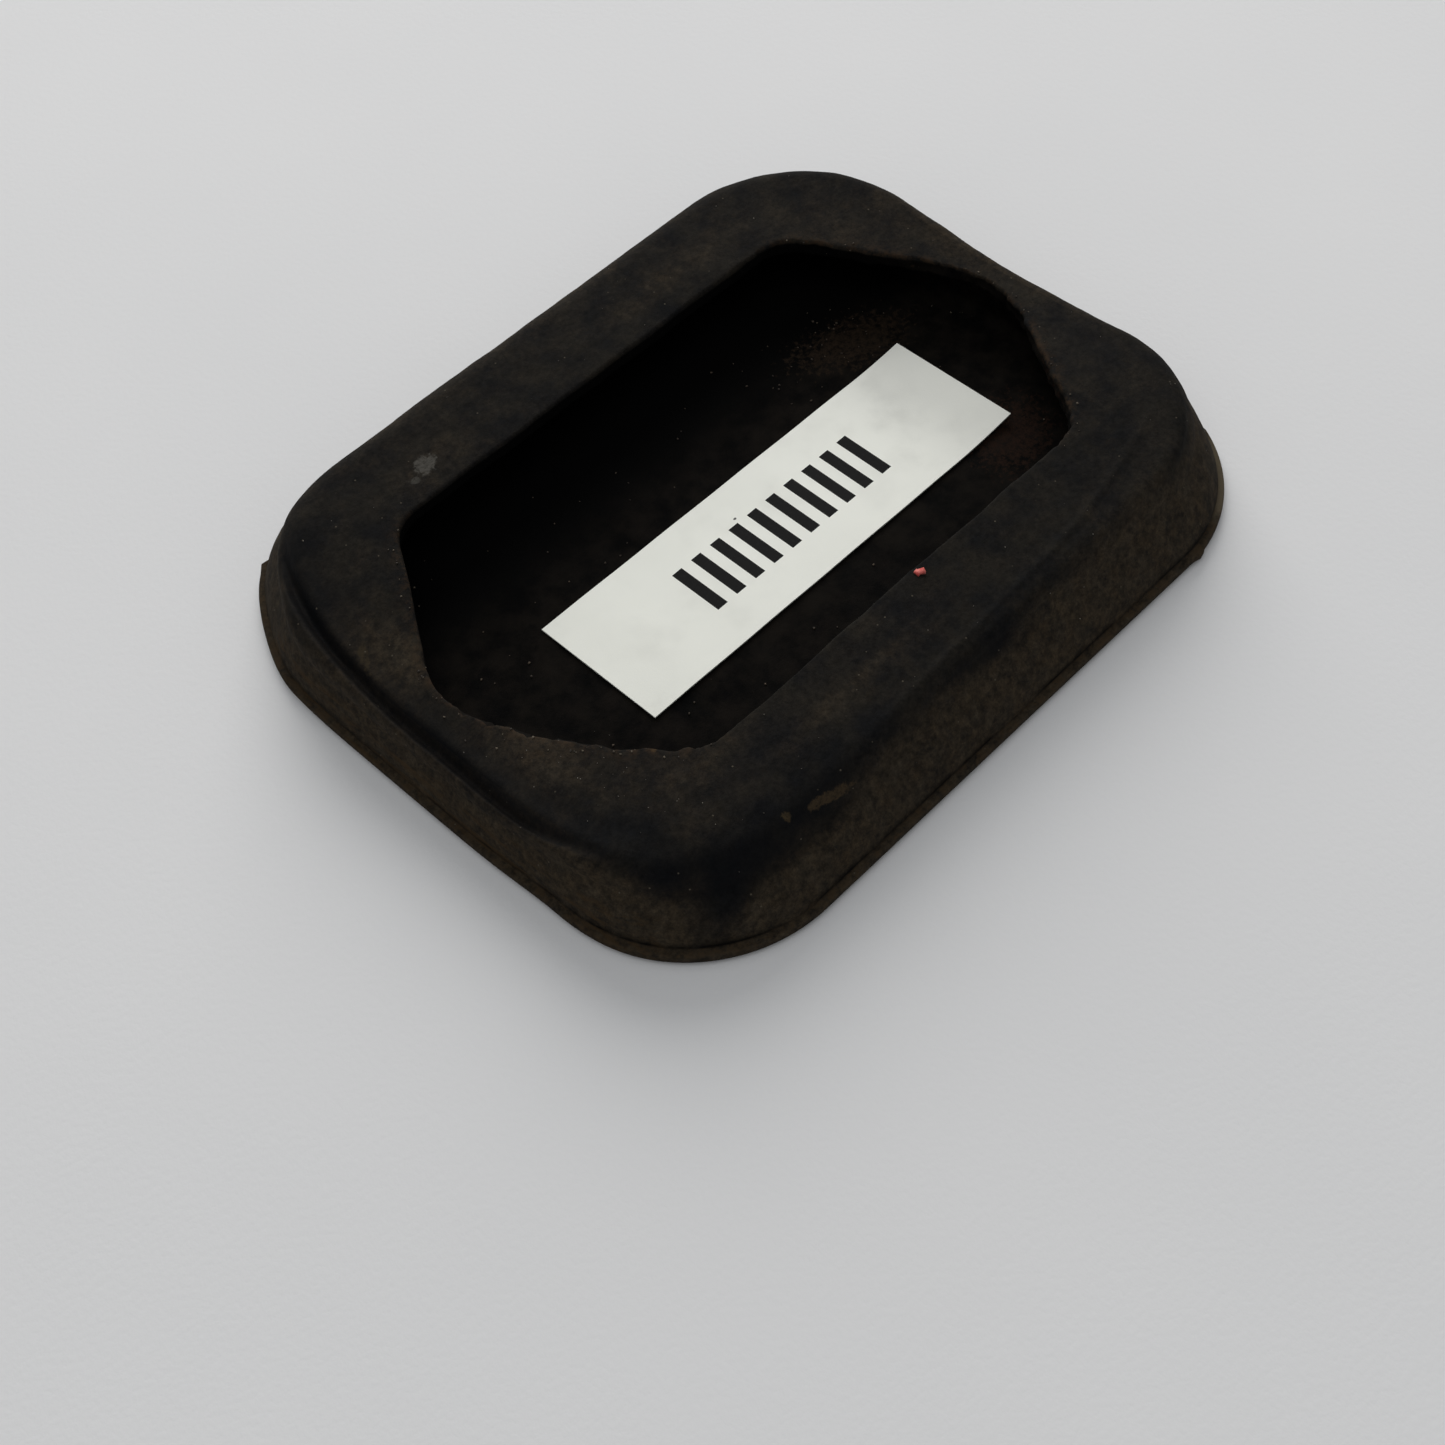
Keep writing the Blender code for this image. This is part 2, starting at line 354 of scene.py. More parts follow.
def lip_levels(shoulder_top):
    """Across the top of the lip, round the mouth's edge and down its face."""
    edge = torn(mouth_ring(MOUTH_EDGE_ROUND))
    for share in np.linspace(0, 1, 32)[1:-1] ** 1.25:
        yield at_height(shoulder_top[:, :2] * (1 - share) + edge * share, RIM_Z)
    for angle in np.linspace(0, pi / 2, 5):
        grow = MOUTH_EDGE_ROUND * (1 - sin(angle))
        z = RIM_Z - MOUTH_EDGE_ROUND * (1 - cos(angle))
        yield at_height(torn(mouth_ring(grow)), z)
    for share in MOUTH_FACE:
        plan = mouth_ring()
        inward = mouth_ledge(plan) * smoothstep(np.array(share), 0.25, 0.5)
        face = torn(plan, share) * (1 - inward / np.linalg.norm(plan, axis=1))[:, None]
        yield at_height(face, RIM_Z - MOUTH_EDGE_ROUND - share * (RIM_Z - MOUTH_EDGE_ROUND - LIP_UNDERSIDE))


def pocket_levels(lip_foot):
    """Out under the lip, down the pocket's wall and round the fillet to the floor."""
    wall = rounded_rectangle(POCKET_HALF_LENGTH, POCKET_HALF_WIDTH, POCKET_CORNER)
    for share in np.linspace(0, 1, 9)[1:]:
        yield at_height(lip_foot[:, :2] * (1 - share) + wall * share, LIP_UNDERSIDE)
    for z in np.linspace(LIP_UNDERSIDE, FLOOR_Z + POCKET_FILLET, 8)[1:]:
        yield at_height(wall, z)
    for angle in np.linspace(0, pi / 2, 6)[1:]:
        inset = POCKET_FILLET * (1 - cos(angle))
        plan = rounded_rectangle(
            POCKET_HALF_LENGTH - inset, POCKET_HALF_WIDTH - inset, POCKET_CORNER - inset
        )
        yield at_height(plan, FLOOR_Z + POCKET_FILLET * (1 - sin(angle)))


def core_grid(half_x, half_y):
    """A grid of points over a rectangle, in rows from -Y to +Y."""
    x, y = np.meshgrid(
        np.linspace(-half_x, half_x, CORE_COLUMNS + 1), np.linspace(-half_y, half_y, CORE_ROWS + 1)
    )
    return np.column_stack((x.ravel(), y.ravel()))


def core_border():
    """Indices of the core grid's border, in the rings' order: from the middle of +X, anticlockwise."""
    width = CORE_COLUMNS + 1
    right = [row * width + CORE_COLUMNS for row in range(CORE_ROWS + 1)]
    top = [CORE_ROWS * width + column for column in range(CORE_COLUMNS, -1, -1)]
    left = [row * width for row in range(CORE_ROWS, -1, -1)]
    bottom = list(range(width))
    loop = right + top[1:] + left[1:] + bottom[1:-1]
    middle = CORE_ROWS // 2
    return np.array(loop[middle:] + loop[:middle])


def groove_height(plan):
    """Height of the tread face: the grooves are slots with round ends that run along Y."""
    height = np.zeros(len(plan))
    for index in range(GROOVES):
        centre = (index - (GROOVES - 1) / 2) * GROOVE_PITCH
        beyond = np.maximum(np.abs(plan[:, 1]) - (GROOVE_HALF_LENGTH - GROOVE_WIDTH / 2), 0)
        outside = np.hypot(plan[:, 0] - centre, beyond) - GROOVE_WIDTH / 2
        height = np.maximum(height, GROOVE_DEPTH * (1 - smoothstep(outside, -0.3, 0.05)))
    return height


class Shell:
    """Vertices and quads of one structured, closed mesh."""

    def __init__(self):
        self.points = []
        self.quads = []
        self.count = 0

    def add(self, points):
        indices = np.arange(self.count, self.count + len(points))
        self.points.append(points)
        self.count += len(points)
        return indices

    def bridge(self, low, high):
        """Quads between two rings."""
        self.quads.append(np.column_stack((low, np.roll(low, -1), np.roll(high, -1), high)))

    def skin(self, levels):
        """Stacks rings. Returns the indices of the first and the last."""
        rings = [self.add(level) for level in levels]
        for low, high in zip(rings, rings[1:]):
            self.bridge(low, high)
        return rings[0], rings[-1]

    def cap(self, ring, points, half_x, half_y, height, upward, steps=8):
        """Closes a ring with blended rings that end on a core grid, all at the heights that height gives."""
        grid = core_grid(half_x, half_y)
        border = core_border()
        plan = points[:, :2]
        previous = ring
        for share in np.arange(1, steps) / steps:
            blend = plan * (1 - share) + grid[border] * share
            current = self.add(np.column_stack((blend, height(blend))))
            self.bridge(*((previous, current) if upward else (current, previous)))
            previous = current
        core = self.add(np.column_stack((grid, height(grid))))
        self.bridge(*((previous, core[border]) if upward else (core[border], previous)))
        cells = core.reshape(CORE_ROWS + 1, CORE_COLUMNS + 1)
        corners = [cells[:-1, :-1], cells[:-1, 1:], cells[1:, 1:], cells[1:, :-1]]
        if not upward:
            corners.reverse()
        self.quads.append(np.stack([corner.ravel() for corner in corners], axis=1))


def mesh_piece(name, points, faces, body="root"):
    """A smooth-shaded object from points in millimetres."""
    mesh = bpy.data.meshes.new(name)
    mesh.from_pydata((np.asarray(points) * MM).tolist(), [], [list(face) for face in faces])
    mesh.validate()
    mesh.shade_smooth()
    piece = bpy.data.objects.new(name, mesh)
    bpy.context.scene.collection.objects.link(piece)
    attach(piece, body)
    return piece


def smooth_path(points, steps=24):
    """A Catmull-Rom curve through points."""
    ends = np.array([points[0], *points, points[-1]], float)
    t = np.linspace(0, 1, steps, endpoint=False)[:, None]
    spans = []
    for a, b, c, d in zip(ends, ends[1:], ends[2:], ends[3:]):
        spans.append(
            0.5 * (2 * b + (c - a) * t + (2 * a - 5 * b + 4 * c - d) * t**2 + (3 * b - a - 3 * c + d) * t**3)
        )
    return np.vstack(spans)


def fold_drop(points):
    """How far the folds lower the outer surface at each point. It fades out at a fold's two ends."""
    drop = np.zeros(len(points))
    high = smoothstep(points[:, 2], 4.2, 5.4)
    for depth, half_width, path in FOLDS:
        curve = smooth_path(path)
        share = np.linspace(0, 1, len(curve))
        taper = smoothstep(share, 0, 0.22) * (1 - smoothstep(share, 0.78, 1))
        gaps = np.linalg.norm(points[:, None, :2] - curve[None], axis=2)
        nearest = gaps.argmin(axis=1)
        gap = gaps[np.arange(len(points)), nearest]
        drop += depth * taper[nearest] * np.exp(-((gap / half_width) ** 2)) * high
    return drop


def roughen(points, normals, strength):
    """Moves points along their normals by the slow waves and small lumps of old moulded rubber."""
    waves = np.array([
        0.13 * noise.noise(Vector(p) * 0.11 + Vector((7, 3, 1)))
        + 0.05 * noise.noise(Vector(p) * 0.42)
        + 0.018 * noise.noise(Vector(p) * 1.5)
        for p in points
    ])
    return points + normals * (waves * strength)[:, None]


def dust_and_wall_light_at(points, outer):
    """How dusty each point is, from 0 to 1: a little everywhere, more on the wall, where it is also painted
    fill light, more at the dusty places and less at the painted-shade places.
    """
    wall = outer * (1 - smoothstep(points[:, 2], 5.0, 7.7))
    # The extra film on the wall is partly dust and partly painted fill light, which lightens the wall.
    dust = 0.2 + 0.6 * wall
    for centre, reach, amount in DUST:
        offset = (points[:, :2] - centre) / reach
        dust += amount * np.exp(-(offset**2).sum(axis=1))
    return np.clip(dust, 0.0, 1.0)


def floor_height(plan):
    """Height of the pocket floor, which is flat."""
    return np.full(len(plan), FLOOR_Z)


def roughen_pad(pad, points, core):
    """Gives the outside its waves and lumps, and the pocket floor a faint share. core marks both grids."""
    normals = np.empty(3 * len(points))
    pad.data.vertices.foreach_get("normal", normals)
    height = points[:, 2]
    outside = smoothstep(height, 0.3, 2.6) * (height > FLOOR_Z + 0.01)
    floor = 0.15 * (core & (height > FLOOR_Z / 2))
    points = roughen(points, normals.reshape(-1, 3), np.maximum(outside, floor))
    pad.data.vertices.foreach_set("co", (points * MM).ravel())
    pad.data.update()
    return points


def build_pad():
    """The whole pad as one closed skin, from the tread round the outside and the lip into the pocket."""
    shell = Shell()
    band = list(band_levels())
    outside = band + list(wall_levels())
    lip = list(lip_levels(outside[-1]))
    levels = outside + lip + list(pocket_levels(lip[-1]))
    first, last = shell.skin(levels)
    shell.cap(first, levels[0], *TREAD_CORE, groove_height, upward=False)
    shell.cap(last, levels[-1], *FLOOR_CORE, floor_height, upward=True)
    points = np.vstack(shell.points)
    top = slice(0, RING * (len(outside) + len(lip)))
    drop = np.zeros(len(points))
    drop[top] = fold_drop(points[top])
    points[:, 2] -= drop
    pad = mesh_piece("rubber_pad", points, np.vstack(shell.quads))

    # The number of the ring that each point lies on, or -1 in the two core grids.
    level = np.full(len(points), -1.0)
    level[: RING * len(levels)] = np.repeat(np.arange(len(levels)), RING)
    points = roughen_pad(pad, points, level < 0)
    wall_foot = len(band)
    mouth_face = len(outside) + len(lip) - len(MOUTH_FACE)
    mouth_edge = mouth_face - 3
    traits = {
        "crease": np.exp(-(((level - wall_foot) / 1.1) ** 2)),
        "band": smoothstep(level, wall_foot - 9, wall_foot - 5)
        * (1 - smoothstep(level, wall_foot - 2.5, wall_foot - 1)),
        "mouth_edge": np.exp(-(((level - mouth_edge) / 3.0) ** 2)) * (level >= 0),
        # Where the pocket's painted shade goes: the mouth's face, the pocket and its floor.
        "inside": (level >= mouth_face) | ((level < 0) & (points[:, 2] > FLOOR_Z / 2)),
        "dust": dust_and_wall_light_at(points, level < len(outside)),
        # Share of the full fold depth: it carries the painted shade in the folds.
        "fold": np.clip(drop / FULL_FOLD, 0, 1),
    }
    for name, values in traits.items():
        attribute = pad.data.attributes.new(name, "FLOAT", "POINT")
        attribute.data.foreach_set("value", values.astype(np.float32))
    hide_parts("pedal_pad")
    return pad


class Recipe:
    """Adds nodes to one material, so that a surface reads as a formula. Lengths in it are millimetres."""

    def __init__(self, name):
        self.material = bpy.data.materials.new(name)
        self.material.use_nodes = True
        self.tree = self.material.node_tree
        self.shader = self.tree.nodes["Principled BSDF"]
        place = self.tree.nodes.new("ShaderNodeTexCoord")
        self.place = self.vector("SCALE", place.outputs["Object"], scale=1 / MM)

    def put(self, socket, value):
        """Links an output to the socket, or sets the socket to a value."""
        if isinstance(value, bpy.types.NodeSocket):
            self.tree.links.new(value, socket)
        else:
            socket.default_value = value

    def math(self, operation, a, b=0.0, clamp=False):
        node = self.tree.nodes.new("ShaderNodeMath")
        node.operation = operation
        node.use_clamp = clamp
        self.put(node.inputs[0], a)
        self.put(node.inputs[1], b)
        return node.outputs[0]

    def times(self, a, b):
        return self.math("MULTIPLY", a, b)

    def vector(self, operation, a, b=None, scale=None):
        node = self.tree.nodes.new("ShaderNodeVectorMath")
        node.operation = operation
        self.put(node.inputs[0], a)
        if b is not None:
            self.put(node.inputs[1], b)
        if scale is not None:
            self.put(node.inputs["Scale"], scale)
        return node.outputs["Value" if operation == "LENGTH" else "Vector"]

    def noise(self, size, detail=3.0, roughness=0.5, stretch=(1, 1, 1), shift=0.0):
        """Noise from about 0 to 1, with features of about this size."""
        node = self.tree.nodes.new("ShaderNodeTexNoise")
        where = self.vector("MULTIPLY", self.place, stretch)
        where = self.vector("ADD", where, (shift, 2 * shift, 3 * shift))
        self.put(node.inputs["Vector"], where)
        self.put(node.inputs["Scale"], 1 / size)
        self.put(node.inputs["Detail"], detail)
        self.put(node.inputs["Roughness"], roughness)
        return node.outputs[0]

    def grains(self, pitch, shift=0.0):
        """Scattered points about a pitch apart: the distance from the nearest, and a random number for it."""
        node = self.tree.nodes.new("ShaderNodeTexVoronoi")
        self.put(node.inputs["Vector"], self.vector("ADD", self.place, (shift, shift, shift)))
        self.put(node.inputs["Scale"], 1 / pitch)
        return node.outputs["Distance"], node.outputs["Color"]

    def mask(self, value, low, high):
        """0 below low, 1 above high and smooth between them. low may be the larger, which turns it round."""
        node = self.tree.nodes.new("ShaderNodeMapRange")
        node.interpolation_type = "SMOOTHSTEP"
        self.put(node.inputs["Value"], value)
        first, last = (low, high) if low < high else (high, low)
        self.put(node.inputs["From Min"], first)
        self.put(node.inputs["From Max"], last)
        self.put(node.inputs["To Min"], 0.0 if low < high else 1.0)
        self.put(node.inputs["To Max"], 1.0 if low < high else 0.0)
        return node.outputs[0]

    def mix(self, share, a, b):
        node = self.tree.nodes.new("ShaderNodeMix")
        node.data_type = "RGBA"
        self.put(node.inputs["Factor"], share)
        self.put(node.inputs["A"], a)
        self.put(node.inputs["B"], b)
        return node.outputs["Result"]

    def attribute(self, name):
        node = self.tree.nodes.new("ShaderNodeAttribute")
        node.attribute_name = name
        return node.outputs["Fac"]

    def axis(self, index):
        node = self.tree.nodes.new("ShaderNodeSeparateXYZ")
        self.put(node.inputs[0], self.place)
        return node.outputs[index]

    def spot(self, centre, size, ragged=0.5, turn=0.0):
        """A ragged stain of half lengths size about centre, turned in plan."""
        offset = self.vector("SUBTRACT", self.place, (*centre, 0.0))
        rotate = self.tree.nodes.new("ShaderNodeVectorRotate")
        rotate.rotation_type = "Z_AXIS"
        self.put(rotate.inputs["Vector"], offset)
        self.put(rotate.inputs["Angle"], -turn)
        scaled = self.vector("MULTIPLY", rotate.outputs[0], (1 / size[0], 1 / size[1], 0.0))
        distance = self.vector("LENGTH", scaled)
        edge = self.noise(0.5, 4.0, 0.65, shift=centre[0])
        uneven = self.times(self.math("SUBTRACT", edge, 0.5), 4 * ragged)
        distance = self.math("ADD", distance, uneven)
        return self.mask(distance, 1.15, 0.65)

    def bump(self, heights):
        """Bump from heights in millimetres, given as (value, depth) pairs."""
        total = None
        for value, depth in heights:
            part = self.times(value, depth)
            total = part if total is None else self.math("ADD", total, part)
        node = self.tree.nodes.new("ShaderNodeBump")
        node.inputs["Strength"].default_value = 1.0
        node.inputs["Distance"].default_value = MM
        self.put(node.inputs["Height"], total)
        self.put(self.shader.inputs["Normal"], node.outputs["Normal"])


# Marks on the lip: centre in plan, half lengths, turn and colour.
LIP_MARKS = (
    ((-15.3, 18.5), (1.1, 0.8), 0.3, (0.07, 0.066, 0.058, 1)),
    ((-16.9, 17.9), (0.5, 0.35), -0.4, (0.05, 0.047, 0.041, 1)),
    ((-16.5, -24.0), (2.0, 0.25), -0.13, (0.042, 0.029, 0.016, 1)),
    ((-20.1, -23.3), (0.35, 0.3), 0.0, (0.042, 0.03, 0.016, 1)),
    ((-22.3, -12.9), (0.3, 0.2), 0.4, (0.06, 0.038, 0.018, 1)),
    ((-30.2, 8.6), (1.3, 0.35), 1.1, (0.032, 0.024, 0.014, 1)),
)
# Brown stains on the pocket floor, at both sides of the label's far end.
POCKET_STAINS = (
    ((20.2, 6.8), (5.0, 2.4), -0.3, (0.017, 0.011, 0.0068, 1)),
    ((21.0, -9.5), (4.0, 3.0), 0.4, (0.016, 0.008, 0.005, 1)),
)
# Where the flash is chafed pale, which also stands as a painted highlight on the pad's corner there.
CHAFE_AND_HIGHLIGHT_CENTRE = (29.0, -23.8)
CHAFE_AND_HIGHLIGHT_REACH = (5.0, 4.0)


def stained(recipe, colour, marks, ragged, broken):
    """A colour with marks laid over it. They are ragged at their edges and broken up by a mask."""
    for centre, size, turn, tone in marks:
        share = recipe.times(recipe.spot(centre, size, ragged, turn), broken)
        colour = recipe.mix(share, colour, tone)
    return colour


def dusty_rubber(recipe, mottle, film, speckle):
    """Charcoal rubber, cooler and warmer in patches, under a film of dust whose tint drifts."""
    warm = recipe.mask(mottle, 0.35, 0.65)
    colour = recipe.mix(warm, (0.0052, 0.0054, 0.0059, 1), (0.0108, 0.0096, 0.0078, 1))
    drift = recipe.noise(1.6, 3.0, shift=12.0)
    tint = recipe.mix(drift, (0.046, 0.031, 0.0165, 1), (0.037, 0.0315, 0.0235, 1))
    colour = recipe.mix(film, colour, tint)
    gain = recipe.math("ADD", 0.55, recipe.mask(speckle, 0.3, 0.7))
    return recipe.vector("SCALE", colour, scale=gain)


def worn_and_shaded_edges(recipe, colour, fine):
    """Painted shade in the crease, dirt on the flash and along the near end's wall, a pale chafe on the flash
    that is also a painted highlight on the corner, and wear at both ends of the mouth.
    """
    # Painted shade: a near-black line in the crease, broken in places.
    gaps = recipe.mask(recipe.noise(4.0, 4.0, 0.6, shift=26.0), 0.35, 0.6)
    colour = recipe.mix(recipe.times(recipe.attribute("crease"), gaps), colour, (0.0012, 0.001, 0.0009, 1))

    band = recipe.attribute("band")
    clumps = recipe.mask(recipe.noise(1.6, 6.0, 0.75, shift=15.0), 0.46, 0.62)
    colour = recipe.mix(recipe.times(band, clumps), colour, (0.042, 0.029, 0.017, 1))
    # Pale chafe on the flash, partly a painted highlight on the corner.
    chafe_and_highlight = recipe.times(band, recipe.spot(CHAFE_AND_HIGHLIGHT_CENTRE, CHAFE_AND_HIGHLIGHT_REACH, 0.15))
    colour = recipe.mix(recipe.times(chafe_and_highlight, 0.7), colour, (0.11, 0.09, 0.06, 1))

    near_wall = recipe.times(recipe.mask(recipe.axis(0), -29.5, -32.0), recipe.mask(recipe.axis(2), 4.6, 3.2))
    streaks = recipe.noise(1.1, 6.0, 0.7, stretch=(1.4, 0.16, 1.8), shift=52.0)
    rust = recipe.times(near_wall, recipe.mask(streaks, 0.47, 0.64))
    colour = recipe.mix(recipe.times(rust, 0.7), colour, (0.043, 0.027, 0.013, 1))

    ends = recipe.mask(recipe.math("ABSOLUTE", recipe.axis(0)), 17.0, 23.0)
    wear = recipe.times(recipe.times(recipe.attribute("mouth_edge"), ends), recipe.mask(fine, 0.45, 0.62))
    return recipe.mix(wear, colour, (0.032, 0.02, 0.012, 1))


def pocket_rubber_and_shade(recipe, patches, speckle):
    """The pocket's colour, also on the mouth's face: nearly black as painted shade under the lip, with silt
    over the near (-Y) part of the floor that gives way to the painted shade towards +Y, and the brown stains.
    """
    # Painted shade: the pocket is near black, and the silt fades out towards +Y, where the far lip shades the
    # floor.
    silt = recipe.times(recipe.mask(recipe.axis(1), 11.0, 4.5), recipe.mask(patches, -0.2, 0.2))
    colour = recipe.mix(silt, (0.0005, 0.0005, 0.0005, 1), (0.0068, 0.0053, 0.004, 1))
    return stained(recipe, colour, POCKET_STAINS, 0.9, recipe.mask(speckle, 0.35, 0.6))


def rubber_material():
    """Aged charcoal rubber: mottled, dusty on the walls, where the film also stands in for painted fill
    light, with painted shade in the crease, the folds and the pocket.
    """
    recipe = Recipe("aged_rubber")
    mottle = recipe.noise(3.5, 6.0, 0.6)
    fine = recipe.noise(0.9, 8.0, 0.8, shift=8.0)
    speckle = recipe.noise(0.5, 8.0, 0.85, shift=40.0)
    patches = recipe.math("SUBTRACT", recipe.noise(2.4, 5.0, 0.65, shift=4.0), 0.5)
    # The dust attribute also carries painted fill light on the walls and painted shade where it is negative.
    dust = recipe.math("ADD", recipe.attribute("dust"), recipe.times(patches, 0.9))
    film = recipe.times(recipe.mask(dust, 0.05, 0.95), recipe.mask(fine, 0.25, 0.7))
    fold_shade = recipe.attribute("fold")

    colour = dusty_rubber(recipe, mottle, film, speckle)
    # Painted shade in the folds and hollows: dark, bluish rubber where they sink, with the bluish tint as a
    # painted reflection.
    colour = recipe.mix(recipe.times(fold_shade, 0.8), colour, (0.0022, 0.0026, 0.0036, 1))
    colour = worn_and_shaded_edges(recipe, colour, fine)
    colour = stained(recipe, colour, LIP_MARKS, 0.6, recipe.mask(speckle, 0.3, 0.58))
    distance, number = recipe.grains(0.9)
    speck = recipe.times(recipe.mask(distance, 0.1, 0.05), recipe.mask(number, 0.66, 0.68))
    colour = recipe.mix(speck, colour, (0.07, 0.06, 0.045, 1))
    pocket = pocket_rubber_and_shade(recipe, patches, speckle)
    # The inside places (mouth face, pocket wall and floor) take the pocket's painted shade.
    recipe.put(recipe.shader.inputs["Base Color"], recipe.mix(recipe.attribute("inside"), colour, pocket))

    clean = recipe.math("MAXIMUM", recipe.mask(dust, 0.1, -0.25), recipe.times(fold_shade, 0.6))
    uneven = recipe.times(recipe.math("SUBTRACT", mottle, 0.5), 0.15)
    gloss = recipe.math("ADD", recipe.times(clean, 0.28), uneven)
    recipe.put(recipe.shader.inputs["Roughness"], recipe.math("SUBTRACT", 0.9, gloss, clamp=True))
    recipe.shader.inputs["Specular IOR Level"].default_value = 0.06
    scratch = recipe.mask(recipe.noise(0.25, 2.0, 0.5, stretch=(0.12, 1.4, 1.0), shift=31.0), 0.7, 0.78)
    recipe.bump((
        (recipe.noise(0.16, 3.0, 0.6, shift=2.0), 0.022),
        (fine, 0.03),
        (recipe.noise(1.3, 4.0, 0.6, shift=21.0), 0.05),
        (scratch, -0.008),
    ))
    return recipe.material


def paper_material():
    """Matt white label tape with faint fibres, soft grey smudges, painted shade towards the far end and one
    speck of ink.
    """
    recipe = Recipe("label_paper")
    smudge = recipe.mask(recipe.noise(4.0, 4.0, 0.6, shift=5.0), 0.45, 0.8)
    colour = recipe.mix(recipe.times(smudge, 0.35), (0.85, 0.86, 0.79, 1), (0.74, 0.745, 0.69, 1))
    # Painted shade: greyer towards the far end, where the far lip's shadow and the curl fall.
    painted_end_shade = recipe.mask(recipe.math("ADD", recipe.axis(0), recipe.times(smudge, 2.0)), 11.5, 20.5)
    colour = recipe.mix(recipe.times(painted_end_shade, 0.5), colour, (0.52, 0.525, 0.49, 1))
    colour = recipe.mix(recipe.spot((-0.2, 0.6), (0.16, 0.12), 0.2), colour, (0.03, 0.03, 0.03, 1))
    recipe.put(recipe.shader.inputs["Base Color"], colour)
    recipe.put(recipe.shader.inputs["Roughness"], recipe.math("ADD", 0.42, recipe.times(smudge, 0.2)))
    recipe.bump(((recipe.noise(0.12, 3.0, 0.6), 0.006), (recipe.noise(5.0, 2.0, 0.5), 0.05)))
    return recipe.material


def ink_material():
    """Black print, a little uneven, on the same tape."""
    recipe = Recipe("printed_ink")
    uneven = recipe.noise(0.3, 4.0, 0.6)
    recipe.put(
        recipe.shader.inputs["Base Color"],
        recipe.mix(recipe.mask(uneven, 0.4, 0.75), (0.003, 0.003, 0.003, 1), (0.007, 0.007, 0.007, 1)),
    )
    recipe.put(recipe.shader.inputs["Roughness"], recipe.math("ADD", 0.5, recipe.times(uneven, 0.2)))
    recipe.shader.inputs["Specular IOR Level"].default_value = 0.08
    recipe.bump(((recipe.noise(0.12, 3.0, 0.6), 0.006),))
    return recipe.material


def label_columns():
    """X positions across the label, with a line at each side of every printed bar."""
    pitch = BAR_RUN / (BARS - 1 + BAR_SHARE)
    lines = [-LABEL_LENGTH / 2, LABEL_LENGTH / 2]
    for index in range(BARS):
        start = -BAR_RUN / 2 + index * pitch
        lines += [start, start + pitch * BAR_SHARE]
    lines.sort()
    columns = []
    for start, end in zip(lines, lines[1:]):
        steps = max(1, round((end - start) / 0.5))
        columns += list(np.linspace(start, end, steps, endpoint=False))
    return np.array(columns + [lines[-1]])


def is_bar(x, y):
    """Whether a place on the label, from its centre, is inside a printed bar."""
    pitch = BAR_RUN / (BARS - 1 + BAR_SHARE)
    place = (x + BAR_RUN / 2) % pitch
    return abs(x) < BAR_RUN / 2 and place < pitch * BAR_SHARE and abs(y) < BAR_HEIGHT / 2


def label_lift(x, y):
    """How far the tape has come off the floor: its far end curls up, and the rest lies nearly flat."""
    end = np.clip((x - 13.5 - 0.12 * y) / 6.5, 0, 1.2)
    return LABEL_CURL * end**2 + 0.02 * np.sin(x * 0.7)


def build_label():
    """A thin closed strip whose top carries a row of plain bars."""
    columns = label_columns()
    edges = (-LABEL_WIDTH / 2, -BAR_HEIGHT / 2, BAR_HEIGHT / 2, LABEL_WIDTH / 2)
    rows = np.array(sorted(set(np.round(np.concatenate(
        [np.linspace(a, b, 7) for a, b in zip(edges, edges[1:])]), 6))))
    x, y = np.meshgrid(columns, rows)
    top = np.column_stack((x.ravel(), y.ravel(), LABEL_THICKNESS + label_lift(x, y).ravel()))
    bottom = top - (0, 0, LABEL_THICKNESS)
    size = len(top)
    width = len(columns)
    faces = []
    bars = []
    for row in range(len(rows) - 1):
        for column in range(width - 1):
            a = row * width + column
            quad = (a, a + 1, a + width + 1, a + width)
            faces.append(quad)
            middle = (columns[column] + columns[column + 1]) / 2
            bars.append(is_bar(middle, (rows[row] + rows[row + 1]) / 2))
            faces.append(tuple(i + size for i in reversed(quad)))
            bars.append(False)
    rim = list(range(width)) + [row * width + width - 1 for row in range(1, len(rows))]
    rim += [(len(rows) - 1) * width + column for column in range(width - 2, -1, -1)]
    rim += [row * width for row in range(len(rows) - 2, 0, -1)]
    for a, b in zip(rim, rim[1:] + rim[:1]):
        faces.append((b, a, a + size, b + size))
        bars.append(False)
    points = np.vstack((top, bottom))
    turn = np.array(((cos(LABEL_YAW), -sin(LABEL_YAW)), (sin(LABEL_YAW), cos(LABEL_YAW))))
    points[:, :2] = points[:, :2] @ turn.T + LABEL_CENTRE[:2]
    points[:, 2] += FLOOR_Z + LABEL_CLEARANCE
    label = mesh_piece("label_strip", points, faces)
    label.data.materials.append(paper_material())
    label.data.materials.append(ink_material())
    label.data.polygons.foreach_set("material_index", [int(bar) for bar in bars])
    label.data.set_sharp_from_angle(angle=radians(40))
    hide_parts("stock_label")
    return label


def grain(rng, centre, size, flatness=0.6):
    """One crumb: a cube's eight corners pushed about, in any turn."""
    corners = np.array([(x, y, z) for x in (-1, 1) for y in (-1, 1) for z in (-1, 1)], float)
    corners *= [[rng.uniform(0.5, 1.0) for _ in range(3)] for _ in range(8)]
    corners *= (1.0, rng.uniform(0.5, 1.0), flatness)
    turn = np.array(Matrix.Rotation(rng.uniform(0, 2 * pi), 3, "Z"))
    points = corners @ turn.T * size / 2 + centre
    quads = ((0, 1, 3, 2), (4, 6, 7, 5), (0, 4, 5, 1), (2, 3, 7, 6), (0, 2, 6, 4), (1, 5, 7, 3))
    return points, quads


